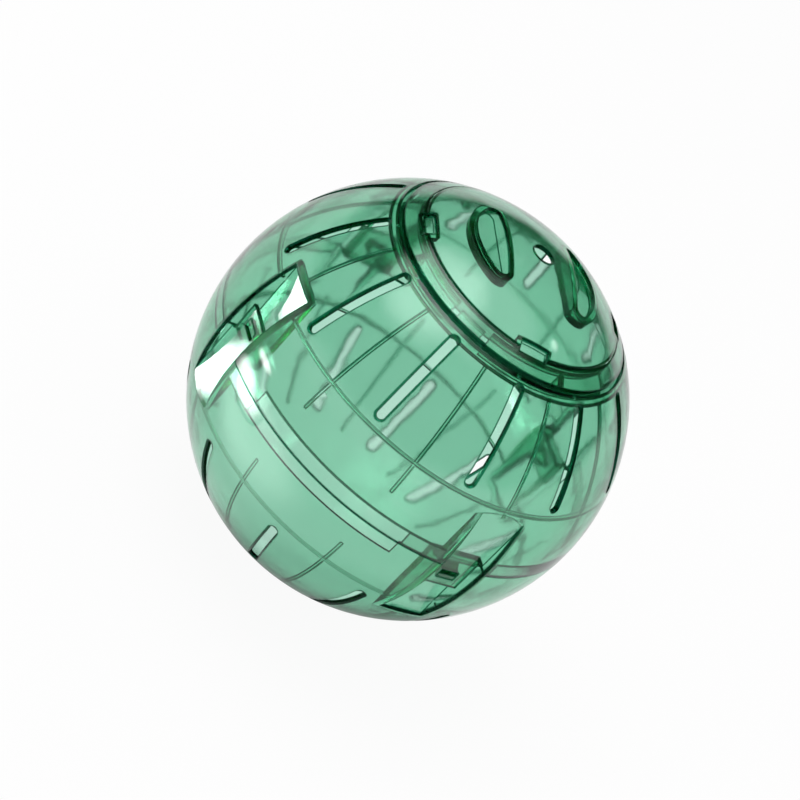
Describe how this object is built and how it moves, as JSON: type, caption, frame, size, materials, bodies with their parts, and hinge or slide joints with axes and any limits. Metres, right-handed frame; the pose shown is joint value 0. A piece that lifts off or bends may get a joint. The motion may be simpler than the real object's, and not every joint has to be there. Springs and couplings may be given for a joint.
{
  "type": "hamster ball",
  "caption": "Clear green exercise ball for a small pet: two half shells clipped on the equator, air slots, inside ribs, and a twist lid with finger recesses.",
  "frame": {"origin": "centre of the ball, in the plane of the seam between the half shells", "axes": "+Z along the axis of the lid, towards the lid; -Y towards the middle of the free stretch of seam that faces the viewer of the picture; the clips stand at 45 degrees between X and Y"},
  "size_m": [0.178, 0.178, 0.1779],
  "materials": {
    "shell": "clear gloss",
    "lid": "clear gloss"
  },
  "bodies": {
    "ball": {"upper_shell": "shell", "lower_shell": "shell"},
    "lid_edge": {"lid_rim": "lid"},
    "lid_plate": {"lid": "lid"}
  },
  "joints": [
    {"name": "lid_lift", "type": "slide", "parent": "ball", "child": "lid_edge", "axis": [0, 0, 1], "range_m": [0, 0.08]},
    {"name": "lid_turn", "type": "hinge", "parent": "lid_edge", "child": "lid_plate", "pos_m": [0, 0, 0.08], "axis": [0, 0, 1], "range_deg": [-30, 0]}
  ]
}
